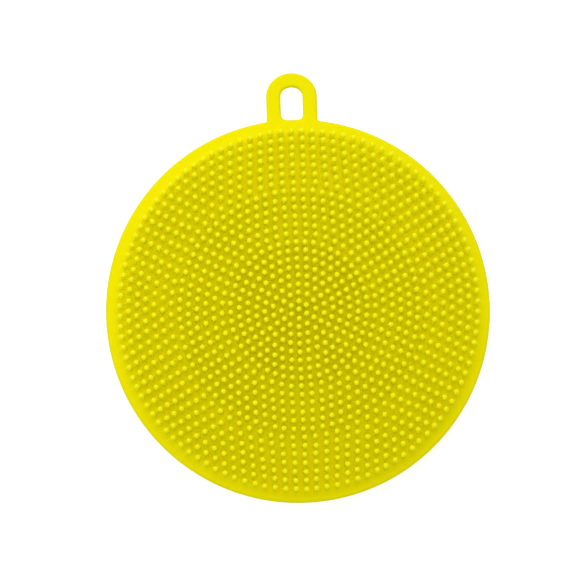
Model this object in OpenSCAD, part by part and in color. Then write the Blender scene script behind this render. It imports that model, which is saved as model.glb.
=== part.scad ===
// Round silicone massage and scrub pad, lying flat on the tips of its back bristles.
// The origin is the disc's centre on the plane it rests on; +Z is the front and +Y points to the loop.

/* [Pad] */
// Outer diameter of the disc, over the rim
pad_d = 112; // [100:1:125]
// Thickness of the web between the bristles
web_t = 2.4; // [1.6:0.1:3]
// Thickness of the rim's bead
rim_t = 2.4; // [2:0.1:3.4]
// Width of the smooth rim, from the bed's edge outwards
rim_w = 2.4; // [1.8:0.1:5]

/* [Bristles] */
// Height of a bristle above the bed
bristle_h = 4.8; // [3:0.1:8]
// Diameter of a bristle where it leaves the bed
root_d = 1.7; // [1.5:0.05:1.9]
// Diameter of a bristle's round tip
tip_d = 1.5; // [0.8:0.05:1.5]
// Distance from one ring of bristles to the next
ring_pitch = 2.47; // [2.2:0.01:3]
// Rings in the inner field, round the bristle at the centre
inner_rings = 8; // [4:1:9]
// Rings in the middle field
middle_rings = 6; // [2:1:6]
// Sixes of bristles that each ring of the middle field leaves out
middle_drop = 1; // [0:1:2]
// Sixes of bristles that each ring of the outer field leaves out
outer_drop = 3; // [0:1:4]

/* [Hanging loop] */
// Width of the hole in the loop
hole_w = 6.5; // [5.6:0.1:8]
// Height of the hole, from the rim to the inside of the arch
hole_h = 9.5; // [9.4:0.1:14]
// Radius of the hole's two lower corners
hole_corner_r = 1.6; // [0.6:0.1:1.8]
// Distance from the disc's edge to the hole
hole_lift = 0.1; // [0.1:0.1:2]
// Width of the loop's strap
strap_w = 4.2; // [3:0.1:5]
// Thickness of the loop's strap
strap_t = 2.4; // [2:0.1:2.8]
// Radius along the edges of the strap
strap_edge_r = 0.7; // [0.3:0.1:0.9]

/* [Clearances] */
// Gap round the web, and between the skins of two fields
seat_gap = 0.05; // [0.02:0.01:0.1]
// Gap that keeps the folded loop clear of its roots
fold_gap = 0.3; // [0.2:0.05:0.5]

/* [Hidden] */

// The pad, from its middle outwards
pad_r = pad_d / 2;
bed_r = pad_r - rim_w;
web_z = bristle_h + web_t / 2;

// The skins on the web's two sides, which the bristles stand on
skin_t = 0.3;
root_sink = skin_t / 2;

// The bristle fields
root_r = root_d / 2;
tip_r = tip_d / 2;
last_ring = floor((bed_r - root_r) / ring_pitch);
inner_last = inner_rings;
middle_last = inner_rings + middle_rings;
inner_edge = (inner_last + 0.5) * ring_pitch;
middle_edge = (middle_last + 0.5) * ring_pitch;

// The loop, from the disc's edge outwards
rim_bite = 1;
hole_y = pad_r + hole_lift;
root_end = hole_y + hole_corner_r;
flex_l = strap_t + 2 * fold_gap;
arch_start = root_end + flex_l;
arch_y = hole_y + hole_h - hole_w / 2;
arch_r = (hole_w + strap_w) / 2;

// Facets: of large rounds, of the loop and of a bristle
disc_fn = 180;
loop_fn = 48;
bristle_fn = 24;

body_colour = [0.95, 0.92, 0.05];
bristle_colour = [0.97, 0.95, 0.12];

// How many bristles ring k has; ring 0 is the one at the centre
function sixes_out(k) = k <= inner_last ? 0 : k <= middle_last ? middle_drop : outer_drop;
function bristles_in(k) = k == 0 ? 1 : 6 * (k - sixes_out(k));

// Flat ring of height t from radius r1 to radius r2, or a full disc where r1 is 0
module flat_ring(r1, r2, t) {
    difference() {
        cylinder(h = t, r = r2, $fn = disc_fn);
        if (r1 > 0) translate([0, 0, -t]) cylinder(h = 3 * t, r = r1, $fn = disc_fn);
    }
}

// One bristle, standing on z = 0 with its foot sunk below: a slim cone under a round tip
module bristle() {
    rotate_extrude($fn = bristle_fn)
        intersection() {
            union() {
                polygon([
                    [0, -root_sink], [root_r, -root_sink], [root_r, 0],
                    [tip_r, bristle_h - tip_r], [0, bristle_h - tip_r]
                ]);
                translate([0, bristle_h - tip_r]) circle(r = tip_r, $fn = bristle_fn);
            }
            translate([0, -root_sink]) square([root_d, bristle_h + root_sink]);
        }
}

// Rings first to last of bristles, on their share of the bed's skin from radius r1 to radius r2
module field(first, last, r1, r2) {
    translate([0, 0, web_z + web_t / 2 - skin_t]) {
        flat_ring(r1, r2, skin_t);
        for (k = [first : last], i = [0 : bristles_in(k) - 1])
            rotate([0, 0, 90 + 360 * i / bristles_in(k)])
                translate([k * ring_pitch, 0, skin_t])
                    bristle();
    }
}

module inner_field() {
    field(0, inner_last, 0, inner_edge);
}

module middle_field() {
    field(inner_last + 1, middle_last, inner_edge + seat_gap, middle_edge);
}

module outer_field() {
    field(middle_last + 1, last_ring, middle_edge + seat_gap, bed_r - seat_gap);
}

// Turns a field of the front over to the back
module to_back() {
    translate([0, 0, 2 * web_z]) mirror([0, 0, 1]) children();
}

// Cross-section of the strap, w wide and t thick, with round edges
module strap_section(w, t) {
    flat_w = w - 2 * strap_edge_r;
    flat_t = t - 2 * strap_edge_r;
    square([w, flat_t], center = true);
    square([flat_w, t], center = true);
    for (x = [-1, 1], y = [-1, 1])
        translate([x * flat_w / 2, y * flat_t / 2]) circle(r = strap_edge_r, $fn = loop_fn);
}

// The two straps of the loop between y1 and y2
module straps(y1, y2) {
    for (x = [-1, 1])
        translate([x * arch_r, y2, web_z])
            rotate([90, 0, 0])
                linear_extrude(y2 - y1)
                    strap_section(strap_w, strap_t);
}

// Low bridge between the two roots, with the hole's lower corners cut into it
module root_bridge() {
    bridge_w = hole_w + strap_w;
    bridge_t = strap_t - 2 * strap_edge_r;
    corner_x = hole_w / 2 - hole_corner_r;
    translate([0, 0, web_z - bridge_t / 2])
        linear_extrude(bridge_t)
            difference() {
                translate([-bridge_w / 2, pad_r - rim_bite]) square([bridge_w, root_end - pad_r + rim_bite]);
                translate([-corner_x, hole_y]) square([2 * corner_x, hole_h]);
                for (x = [-1, 1]) translate([x * corner_x, root_end]) circle(r = hole_corner_r, $fn = loop_fn);
            }
}

module web() {
    color(body_colour)
        translate([0, 0, web_z - web_t / 2 + skin_t])
            cylinder(h = web_t - 2 * skin_t, r = bed_r - seat_gap, $fn = disc_fn);
}

module rim() {
    color(body_colour) {
        translate([0, 0, web_z])
            rotate_extrude($fn = disc_fn) {
                translate([bed_r, -rim_t / 2]) square([rim_w - rim_t / 2, rim_t]);
                translate([pad_r - rim_t / 2, 0])
                    intersection() {
                        circle(r = rim_t / 2, $fn = loop_fn);
                        translate([0, -rim_t / 2]) square([rim_t / 2, rim_t]);
                    }
            }
        straps(pad_r - rim_bite, root_end);
        root_bridge();
    }
}

module loop_straps() {
    color(body_colour) straps(root_end, arch_start);
}

module hang_loop() {
    color(body_colour) {
        straps(arch_start, arch_y);
        translate([0, arch_y, web_z])
            rotate_extrude(angle = 180, $fn = disc_fn)
                translate([arch_r, 0]) strap_section(strap_w, strap_t);
    }
}

module front_inner_bristles() {
    color(bristle_colour) inner_field();
}

module front_middle_bristles() {
    color(bristle_colour) middle_field();
}

module front_outer_bristles() {
    color(bristle_colour) outer_field();
}

module back_inner_bristles() {
    color(bristle_colour) to_back() inner_field();
}

module back_middle_bristles() {
    color(bristle_colour) to_back() middle_field();
}

module back_outer_bristles() {
    color(bristle_colour) to_back() outer_field();
}

web();
rim();
loop_straps();
hang_loop();
front_inner_bristles();
front_middle_bristles();
front_outer_bristles();
back_inner_bristles();
back_middle_bristles();
back_outer_bristles();
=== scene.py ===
import math

import bpy
import numpy as np
from mathutils import Euler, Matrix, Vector
from mathutils.geometry import delaunay_2d_cdt


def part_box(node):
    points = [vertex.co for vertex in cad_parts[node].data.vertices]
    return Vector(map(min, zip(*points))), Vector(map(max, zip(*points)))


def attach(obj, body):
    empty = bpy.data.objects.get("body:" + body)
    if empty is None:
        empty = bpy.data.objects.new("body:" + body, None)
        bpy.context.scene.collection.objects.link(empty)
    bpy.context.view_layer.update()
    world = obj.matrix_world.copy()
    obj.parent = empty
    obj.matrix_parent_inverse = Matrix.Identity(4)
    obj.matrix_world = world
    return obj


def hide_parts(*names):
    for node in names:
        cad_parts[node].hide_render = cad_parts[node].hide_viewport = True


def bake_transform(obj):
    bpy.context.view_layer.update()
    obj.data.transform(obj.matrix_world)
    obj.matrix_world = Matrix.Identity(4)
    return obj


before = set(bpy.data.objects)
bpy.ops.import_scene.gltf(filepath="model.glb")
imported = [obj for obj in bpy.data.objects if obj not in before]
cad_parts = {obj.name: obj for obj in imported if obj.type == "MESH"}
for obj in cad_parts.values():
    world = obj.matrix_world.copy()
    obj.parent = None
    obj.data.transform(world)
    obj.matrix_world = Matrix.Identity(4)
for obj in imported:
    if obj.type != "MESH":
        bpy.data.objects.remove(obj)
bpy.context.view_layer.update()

mm = 0.001
scene = bpy.context.scene
rimLow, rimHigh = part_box("rim")
midZ = (rimLow[2] + rimHigh[2]) / 2  # the pad's middle plane
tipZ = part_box("front_outer_bristles")[1][2]  # plane of the front's bristle tips


def linear(hexColour):
    # sRGB hex to the linear numbers that sockets take
    parts = [int(hexColour[i:i + 2], 16) / 255 for i in (1, 3, 5)]
    return tuple(c / 12.92 if c <= 0.04045 else ((c + 0.055) / 1.055) ** 2.4 for c in parts) + (1.0,)


def addNode(tree, kind, settings=None, links=None):
    # a setting that the node itself has by that name goes there, and any other goes to an input
    node = tree.nodes.new(kind)
    for name, value in (settings or {}).items():
        if isinstance(name, str) and hasattr(node, name):
            setattr(node, name, value)
        else:
            node.inputs[name].default_value = value
    for name, source in (links or {}).items():
        tree.links.new(source, node.inputs[name])
    return node


def newMesh(name, points, faces, body):
    mesh = bpy.data.meshes.new(name)
    mesh.from_pydata(points, [], faces)
    mesh.validate()
    mesh.update()
    piece = bpy.data.objects.new(name, mesh)
    scene.collection.objects.link(piece)
    mesh.polygons.foreach_set("use_smooth", [True] * len(mesh.polygons))
    if body:
        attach(piece, body)
    return piece


# Camera: nearly straight above, a little below and left of the pad's middle. In metres, degrees and mm.
view = {"place": (-0.026, -0.056, 0.85), "turn": (4.252, -1.482, -1.8), "lens": 180.1, "sensor": 36.0}
camera = bpy.data.objects.new("camera", bpy.data.cameras.new("camera"))
camera.location = view["place"]
camera.rotation_euler = Euler([math.radians(a) for a in view["turn"]], "XYZ")
camera.data.lens = view["lens"]
camera.data.sensor_width = view["sensor"]
camera.data.clip_start = 0.01
camera.data.clip_end = 20
scene.collection.objects.link(camera)
scene.camera = camera
print("camera placed")

# Light: a softbox beyond the loop, a weak one on the left, and a pale sky that shows white
lamps = {  # places and sizes in metres
    "softbox": {"place": (-0.01, 0.3, 0.46), "size": 0.45, "watts": 1.05},
    "side": {"place": (-0.38, 0.06, 0.36), "size": 0.45, "watts": 0.35},
}
for lampName, lamp in lamps.items():
    data = bpy.data.lights.new(lampName, "AREA")
    data.size = lamp["size"]
    data.energy = lamp["watts"]
    lampObject = bpy.data.objects.new(lampName, data)
    lampObject.location = lamp["place"]
    aim = Vector((0, 0, midZ)) - lampObject.location
    lampObject.rotation_euler = aim.to_track_quat("-Z", "Y").to_euler()
    scene.collection.objects.link(lampObject)

sky = {"colour": "#ffffff", "light": 0.57, "shown": 1.0}  # its strength on the pad, and as seen or mirrored
scene.world = bpy.data.worlds.new("studio")
scene.world.use_nodes = True
skyTree = scene.world.node_tree
skyTree.nodes.clear()
rays = addNode(skyTree, "ShaderNodeLightPath")
glossyOrClear = addNode(skyTree, "ShaderNodeMath", {"operation": "MAXIMUM"},
                        {0: rays.outputs["Is Glossy Ray"], 1: rays.outputs["Is Transmission Ray"]})
seen = addNode(skyTree, "ShaderNodeMath", {"operation": "MAXIMUM"},
               {0: rays.outputs["Is Camera Ray"], 1: glossyOrClear.outputs[0]})
strength = addNode(skyTree, "ShaderNodeMapRange", {"To Min": sky["light"], "To Max": sky["shown"]},
                   {"Value": seen.outputs[0]})
dome = addNode(skyTree, "ShaderNodeBackground", {"Color": linear(sky["colour"])},
               {"Strength": strength.outputs[0]})
addNode(skyTree, "ShaderNodeOutputWorld", None, {"Surface": dome.outputs[0]})
print("lights and sky placed")


paper = {"half": 1.5, "grey": "#ececec", "rough": 0.4, "glow": 0.65}  # half its side, in metres


def mattPaper():
    # Matt white paper: even, with no gloss. The glow that only the camera sees lifts it to plain white
    # where it is lit, and leaves the pad's soft shadow.
    material = bpy.data.materials.new("whitePaperMatt")
    material.use_nodes = True
    tree = material.node_tree
    tree.nodes.clear()
    paths = addNode(tree, "ShaderNodeLightPath")
    lift = addNode(tree, "ShaderNodeMath", {"operation": "MULTIPLY", 1: paper["glow"]},
                   {0: paths.outputs["Is Camera Ray"]})
    matt = addNode(tree, "ShaderNodeBsdfDiffuse",
                   {"Color": linear(paper["grey"]), "Roughness": paper["rough"]})
    glow = addNode(tree, "ShaderNodeEmission", {"Color": linear("#ffffff")}, {"Strength": lift.outputs[0]})
    both = addNode(tree, "ShaderNodeAddShader", None, {0: matt.outputs[0], 1: glow.outputs[0]})
    addNode(tree, "ShaderNodeOutputMaterial", None, {"Surface": both.outputs[0]})
    return material


half = paper["half"]
corners = [(-half, -half, 0), (half, -half, 0), (half, half, 0), (-half, half, 0)]
floor = newMesh("floor", corners, [(0, 1, 2, 3)], None)
floor.data.materials.append(mattPaper())
print("floor laid")


# What both silicone materials share; the real pad is one silicone of one colour. Red and green light go far
# into the yellow rubber, blue hardly at all.
rubber = {
    "ior": 1.41, "tint": "#fff790", "reach": (1.0, 0.9, 0.1), "ramp": (0.3, 0.7),
    "cloud": 9.0, "grain": 0.25, "grainDeep": 0.02,  # in mm
}


def mouldedSilicone(name, look):
    # Silicone rubber as it leaves a spark-eroded mould: an even colour right through, a satin skin with a
    # soft highlight, and some light that goes in and comes out beside it, which keeps its shadows yellow.
    material = bpy.data.materials.new(name)
    material.use_nodes = True
    tree = material.node_tree
    tree.nodes.clear()
    where = addNode(tree, "ShaderNodeTexCoord").outputs["Object"]
    # cloudy, very faint change of colour where the pigment isn't quite evenly mixed
    cloud = addNode(tree, "ShaderNodeTexNoise",
                    {"Scale": 1 / (rubber["cloud"] * mm), "Detail": 3.0, "Roughness": 0.55},
                    {"Vector": where})
    tone = addNode(tree, "ShaderNodeValToRGB", None, {"Fac": cloud.outputs["Fac"]})
    shades = (look["deep"], look["light"])
    for stop, position, shade in zip(tone.color_ramp.elements, rubber["ramp"], shades):
        stop.position = position
        stop.color = linear(shade)
    colour = tone.outputs["Color"]
    if "tip" in look:
        # painted highlight: the colour is mixed paler towards the tips, standing in for their highlights and
        # the light that passes through them
        axes = addNode(tree, "ShaderNodeSeparateXYZ", None, {"Vector": where})
        offset = addNode(tree, "ShaderNodeMath", {"operation": "SUBTRACT", 1: midZ}, {0: axes.outputs["Z"]})
        height = addNode(tree, "ShaderNodeMath", {"operation": "ABSOLUTE"}, {0: offset.outputs[0]})
        span = {"From Min": look["tipFrom"] * mm, "From Max": tipZ - midZ}
        rise = addNode(tree, "ShaderNodeMapRange", {"interpolation_type": "SMOOTHSTEP", **span},
                       {"Value": height.outputs[0]})
        paintedTipHighlight = addNode(tree, "ShaderNodeMix", {"data_type": "RGBA", 7: linear(look["tip"])},
                        {0: rise.outputs[0], 6: colour})
        colour = paintedTipHighlight.outputs[2]
    # fine grain of the mould, drawn at 0.25 mm so that it shows; the real one is a tenth of that
    grain = addNode(tree, "ShaderNodeTexNoise",
                    {"Scale": 1 / (rubber["grain"] * mm), "Detail": 2.0, "Roughness": 0.6},
                    {"Vector": where})
    bump = addNode(tree, "ShaderNodeBump", {"Strength": look["bump"], "Distance": rubber["grainDeep"] * mm},
                   {"Height": grain.outputs["Fac"]})
    satin = addNode(tree, "ShaderNodeMapRange", {"To Min": look["rough"][0], "To Max": look["rough"][1]},
                    {"Value": cloud.outputs["Fac"]})
    shader = addNode(tree, "ShaderNodeBsdfPrincipled",
                     {"IOR": rubber["ior"], "Specular IOR Level": look["gloss"],
                      "Specular Tint": linear(rubber["tint"]), "Subsurface Weight": look["weight"],
                      "Subsurface Scale": look["depth"] * mm, "Subsurface Radius": rubber["reach"]},
                     {"Base Color": colour, "Roughness": satin.outputs[0], "Normal": bump.outputs[0]})
    addNode(tree, "ShaderNodeOutputMaterial", None, {"Surface": shader.outputs[0]})
    return material


# the body: a plain satin sheet, with hardly any highlight of its own (depth in mm)
bodySilicone = mouldedSilicone("siliconeRubberMouldedSatin", {
    "deep": "#f9ef00", "light": "#fbf100", "bump": 0.3, "rough": (0.42, 0.54), "gloss": 0.07,
    "weight": 0.05, "depth": 0.5})
# the bristles: polished holes in the mould make them smoother, so their round tips catch the light. Their
# colour is painted paler from the given height in mm above the pad's middle plane up to the tips: painted
# highlight.
bristleSilicone = mouldedSilicone("siliconeRubberMouldedFine", {
    # painted light: these colours are painted lighter than the body's, for the bristles' lit sides; tip is
    # the colour of their painted highlight
    "deep": "#fefa00", "light": "#fffb00", "tip": "#fffc18", "tipFrom": 4.2, "bump": 0.2,
    "rough": (0.32, 0.42), "gloss": 0.22, "weight": 0.05, "depth": 1.6})
print("silicone mixed")


# Web, rim and loop: one skin, because they are one moulding with nothing between them. Sizes in mm.
skin = {
    "padRadius": 56.0, "bedRadius": 53.6, "halfThick": 1.2,
    "edge": 0.9, "support": 0.15, "edgeSteps": 5,  # round of the edges, and a narrow flat strip beside it
    "loopHalf": 7.45, "archRise": 6.95, "rootFillet": 0.6,
    "holeHalf": 3.25, "holeBottom": 55.95, "holeTop": 65.6, "holeArch": 2.75, "holeCorner": 1.75,
    "rimStep": 0.8, "loopStep": 0.35, "filletStep": 0.2,  # distance between points along the outlines
    "archPoints": 64, "holePoints": 40, "spokes": 180,
    "bedRings": (0.8, 0.6, 0.4, 0.2),  # shares of the bed's radius
}


def arc(cx, cy, radius, start, end, step):
    # points of an arc, angles in degrees, without its last point
    count = max(3, int(abs(math.radians(end - start)) * radius / step))
    a = np.radians(np.linspace(start, end, count, endpoint=False))
    return np.column_stack([cx + radius * np.cos(a), cy + radius * np.sin(a)])


def straight(x1, y1, x2, y2, step):
    count = max(2, int(math.hypot(x2 - x1, y2 - y1) / step))
    t = np.linspace(0, 1, count, endpoint=False)
    return np.column_stack([x1 + (x2 - x1) * t, y1 + (y2 - y1) * t])


def outerLine(top):
    # outline of disc and loop, anticlockwise from the right root
    s, fine, finest = skin, skin["loopStep"], skin["filletStep"]
    rootX = s["loopHalf"] + s["rootFillet"]
    rootY = math.sqrt((s["padRadius"] + s["rootFillet"]) ** 2 - rootX ** 2)
    rootTurn = math.degrees(math.atan2(rootY, rootX))
    archY = top - s["archRise"]
    a = np.linspace(0, math.pi, s["archPoints"], endpoint=False)
    arch = np.column_stack([s["loopHalf"] * np.cos(a), archY + s["archRise"] * np.sin(a)])
    return np.vstack([
        arc(rootX, rootY, s["rootFillet"], rootTurn - 180, -180, finest),
        straight(s["loopHalf"], rootY, s["loopHalf"], archY, fine),
        arch,
        straight(-s["loopHalf"], archY, -s["loopHalf"], rootY, fine),
        arc(-rootX, rootY, s["rootFillet"], 0, -rootTurn, finest),
        arc(0, 0, s["padRadius"], 180 - rootTurn, 360 + rootTurn, s["rimStep"]),
    ])


def holeLine():
    # outline of the hole, clockwise, so that the silicone lies on its left as it does on the outer line
    s, fine, finest = skin, skin["loopStep"], skin["filletStep"]
    w, r, low = s["holeHalf"], s["holeCorner"], s["holeBottom"]
    archY = s["holeTop"] - s["holeArch"]
    a = np.linspace(math.pi, 0, s["holePoints"], endpoint=False)
    arch = np.column_stack([w * np.cos(a), archY + s["holeArch"] * np.sin(a)])
    return np.vstack([
        arch,
        straight(w, archY, w, low + r, fine),
        arc(w - r, low + r, r, 0, -90, finest),
        straight(w - r, low, r - w, low, fine),
        arc(r - w, low + r, r, -90, -180, finest),
        straight(-w, low + r, -w, archY, fine),
    ])


def inwardNormals(line):
    # unit vectors to the left of travel, which is into the silicone
    ahead, behind = np.roll(line, -1, axis=0), np.roll(line, 1, axis=0)
    along = ahead - behind
    along /= np.linalg.norm(along, axis=1)[:, None]
    return np.column_stack([-along[:, 1], along[:, 0]])


def insidePolygon(points, line):
    # counts how often a ray to the right of each point crosses the outline
    x, y = points[:, 0][:, None], points[:, 1][:, None]
    x1, y1 = line[:, 0][None], line[:, 1][None]
    x2, y2 = np.roll(line[:, 0], -1)[None], np.roll(line[:, 1], -1)[None]
    crosses = (y1 > y) != (y2 > y)
    at = x1 + (y - y1) * (x2 - x1) / np.where(y2 == y1, 1e-12, y2 - y1)
    return (crosses & (x < at)).sum(axis=1) % 2 == 1


def roundedWall():
    # how far inside its outline each level of the wall lies, and how high, from the back to the front
    edge, tall = skin["edge"], skin["halfThick"]
    turns = np.radians(np.linspace(0, 90, skin["edgeSteps"] + 1))
    front = [(edge * (1 - math.cos(t)), tall - edge + edge * math.sin(t)) for t in turns]
    front.append((edge + skin["support"], tall))
    return [(inset, -z) for inset, z in reversed(front)] + front


def makeSkin():
    points, faces, flats = [], [], []
    start, tall = 0, skin["halfThick"]

    def addLevels(line, levels, walled):
        # lays the levels of one outline, and notes where the back's and the front's flat begin
        nonlocal start
        inward, n = inwardNormals(line), len(line)
        for inset, z in levels:
            points.append(np.column_stack([line + inward * inset, np.full(n, z + midZ / mm)]))
        if walled:
            for row in range(len(levels) - 1):
                for j in range(n):
                    a, b = start + row * n + j, start + row * n + (j + 1) % n
                    faces.append((a, b, b + n, a + n))
        flats.append((line + inward * levels[-1][0], start, start + (len(levels) - 1) * n))
        start += len(levels) * n

    wall = roundedWall()
    addLevels(outerLine(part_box("hang_loop")[1][1] / mm), wall, True)
    addLevels(holeLine(), wall, True)
    turns = 2 * math.pi * np.arange(skin["spokes"])[::-1] / skin["spokes"]
    bed = skin["bedRadius"] * np.column_stack([np.cos(turns), np.sin(turns)])
    addLevels(bed, [(0, -tall), (0, tall)], False)

    # flat top and bottom between the rounded edges and the bed: triangles over the whole outline, where
    # points nearer than 1e-7 mm count as one, and then without those outside, in the hole and in the bed
    border = np.vstack([flat for flat, _, _ in flats])
    edges, base = [], 0
    for flat, _, _ in flats:
        n = len(flat)
        edges += [(base + j, base + (j + 1) % n) for j in range(n)]
        base += n
    result = delaunay_2d_cdt([Vector(p) for p in border], edges, [], 0, 1e-7)
    spots = np.array([tuple(v) for v in result[0]])
    triangles = np.array([tuple(f) for f in result[2]])
    middles = spots[triangles].mean(axis=1)
    keep = insidePolygon(middles, flats[0][0]) & ~insidePolygon(middles, flats[1][0])
    keep &= ~insidePolygon(middles, flats[2][0])
    low = np.concatenate([np.arange(len(f)) + a for f, a, _ in flats])
    high = np.concatenate([np.arange(len(f)) + b for f, _, b in flats])
    source = np.array([origin[0] for origin in result[3]])
    for a, b, c in triangles[keep]:
        u, v, w = source[a], source[b], source[c]
        faces.append((int(high[u]), int(high[v]), int(high[w])))
        faces.append((int(low[w]), int(low[v]), int(low[u])))

    # the two beds, which the bristles stand on, as rings about the middle
    n = skin["spokes"]
    for side, outer in ((-1, flats[2][1]), (1, flats[2][2])):
        ring = outer
        for share in skin["bedRings"]:
            points.append(np.column_stack([bed * share, np.full(n, side * tall + midZ / mm)]))
            for j in range(n):
                k = (j + 1) % n
                quad = (ring + k, ring + j, start + j, start + k)
                faces.append(quad if side > 0 else quad[::-1])
            ring = start
            start += n
        points.append(np.array([[0, 0, side * tall + midZ / mm]]))
        for j in range(n):
            last = (ring + (j + 1) % n, ring + j, start)
            faces.append(last if side > 0 else last[::-1])
        start += 1
    return newMesh("padSkin", (np.vstack(points) * mm).tolist(), faces, None)


padSkin = makeSkin()
padSkin.data.materials.append(bodySilicone)
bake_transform(padSkin)
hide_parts("web", "rim", "loop_straps", "hang_loop")
print("skin made")


# Bristles: slim cones with a round tip and a small fillet at the foot, in rings at one pitch. Sizes in mm.
bristle = {
    "pitch": 2.47, "height": 4.8, "rootRadius": 0.83, "tipRadius": 0.77, "cap": 0.6,
    "fillet": 0.2, "sunk": 0.15,  # the foot goes a little into the bed, so no gap shows
    "turn": 0.72,  # degrees between the rings and the loop
    # levels of the mesh: degrees round the fillet, shares of the side's height, and degrees round the tip
    "segments": 14, "filletTurns": (0, 30, 60, 90), "sideShares": (0.33, 0.66, 1.0),
    "capTurns": (22, 42, 60, 76),
}
# How the sheet lies and how a soft moulding varies. Leans and the curl are slopes, and a wave is its rate in
# radians per mm and its start. The rest is in mm and degrees, and driftFade is a power.
slack = {
    "lean": 0.03, "leanWaves": ((0.08, 0.5), (0.07, -0.9)), "leanJitter": 0.02,
    "curl": 0.22, "curlToward": 55, "shorter": 0.08,
    "drift": 0.12, "driftWaves": ((0.12, 0), (0.1, 0.7)), "driftFade": 4,
}
# title, name in the node, first ring, last ring, and the sixes of bristles that each of its rings leaves out
fields = [("Inner", "inner", 0, 8, 0), ("Middle", "middle", 9, 14, 1), ("Outer", "outer", 15, 21, 3)]


def bristleProfile():
    # radius and height of each level of one bristle, from the sunk foot to the last level under the pole
    root, tip, fillet, cap = bristle["rootRadius"], bristle["tipRadius"], bristle["fillet"], bristle["cap"]
    levels = [(root + fillet, -bristle["sunk"])]
    for turn in bristle["filletTurns"]:
        a = math.radians(turn)
        levels.append((root + fillet * (1 - math.sin(a)), fillet * (1 - math.cos(a))))
    shoulder = bristle["height"] - cap
    for share in bristle["sideShares"]:
        z = fillet + (shoulder - fillet) * share
        levels.append((root + (tip - root) * share, z))
    for turn in bristle["capTurns"]:
        a = math.radians(turn)
        levels.append((tip * math.cos(a), shoulder + cap * math.sin(a)))
    return np.array(levels)


def ringPlaces(first, last, sixesOut):
    places = []
    for ring in range(first, last + 1):
        count = 6 * (ring - sixesOut) if ring else 1
        for i in range(count):
            a = math.radians(90 + bristle["turn"]) + 2 * math.pi * i / count
            places.append((ring * bristle["pitch"] * math.cos(a), ring * bristle["pitch"] * math.sin(a)))
    return np.array(places)


def oneBristle():
    # points and faces of an upright bristle that stands on the origin
    profile, n = bristleProfile(), bristle["segments"]
    angles = np.arange(n) * 2 * math.pi / n
    circle = np.stack([np.cos(angles), np.sin(angles)], axis=-1)
    rows = len(profile)
    shape = np.zeros((rows * n + 2, 3))
    for r, (radius, z) in enumerate(profile):
        shape[r * n:(r + 1) * n, :2] = circle * radius
        shape[r * n:(r + 1) * n, 2] = z
    shape[rows * n] = (0, 0, profile[0, 1])
    shape[rows * n + 1] = (0, 0, bristle["height"])
    faces = []
    for j in range(n):
        k = (j + 1) % n
        faces.append((rows * n, k, j))
        for r in range(rows - 1):
            faces.append((r * n + j, r * n + k, (r + 1) * n + k, (r + 1) * n + j))
        faces.append(((rows - 1) * n + j, (rows - 1) * n + k, rows * n + 1))
    return shape, faces


def twoWaves(x, y, waves):
    # a slow wave along Y for the first column and one along X for the second
    (rateY, startY), (rateX, startX) = waves
    return np.column_stack([np.sin(rateY * y + startY), np.sin(rateX * x + startX)])


def makeField(title, places, side, seed):
    # all the bristles of one field on one side, 1 for the front and -1 for the back, as one mesh
    chance = np.random.default_rng(seed)
    shape, faces = oneBristle()
    x, y = places[:, 0], places[:, 1]

    # the sheet isn't quite flat, so neighbours lean alike, and each bristle is a little off by itself
    lean = slack["lean"] * twoWaves(x, y, slack["leanWaves"])
    lean = lean + chance.normal(0, slack["leanJitter"], lean.shape)
    # one side of the sheet curls up, and its bristles lean outwards, the more the farther out they stand
    a = math.radians(slack["curlToward"])
    outward = np.array([math.cos(a), math.sin(a)])
    raised = np.clip((places @ outward) / skin["bedRadius"], 0, None) ** 2
    lean = lean + slack["curl"] * raised[:, None] * outward

    # the rings wander a little too, apart from the outermost ones
    fade = 1 - (np.hypot(x, y) / np.hypot(x, y).max()) ** slack["driftFade"]
    drift = slack["drift"] * twoWaves(x, y, slack["driftWaves"]) * fade[:, None]
    tall = 1 - slack["shorter"] / bristle["height"] * chance.random(len(places))
    height = shape[None, :, 2] * np.where(shape[None, :, 2] > 0, tall[:, None], 1)
    bent = np.clip(height, 0, None) ** 1.5 / bristle["height"] ** 0.5  # a bristle bends more towards its tip
    points = np.empty((len(places), len(shape), 3))
    for axis in (0, 1):
        points[:, :, axis] = (places[:, None, axis] + drift[:, None, axis] + shape[None, :, axis]
                              + lean[:, None, axis] * bent)
    points[:, :, 2] = midZ / mm + side * (skin["halfThick"] + height)
    offsets = (np.arange(len(places)) * len(shape))[:, None]
    allFaces = []
    for size in (3, 4):
        kind = np.array([f if side > 0 else f[::-1] for f in faces if len(f) == size])
        allFaces += (kind[None] + offsets[:, :, None]).reshape(-1, size).tolist()
    piece = newMesh(title, (points.reshape(-1, 3) * mm).tolist(), allFaces, "pad")
    piece.data.materials.append(bristleSilicone)
    return piece


seeds = {"front": 11, "back": 21}
for index, (title, node, first, last, sixesOut) in enumerate(fields):
    places = ringPlaces(first, last, sixesOut)
    for side, face in ((1, "front"), (-1, "back")):
        field = makeField(face + title + "Bristles", places, side, seeds[face] + index)
        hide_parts(face + "_" + node + "_bristles")
    print(f"{title.lower()} field made: {len(places)} bristles on each face")


scene.view_settings.view_transform = "Standard"
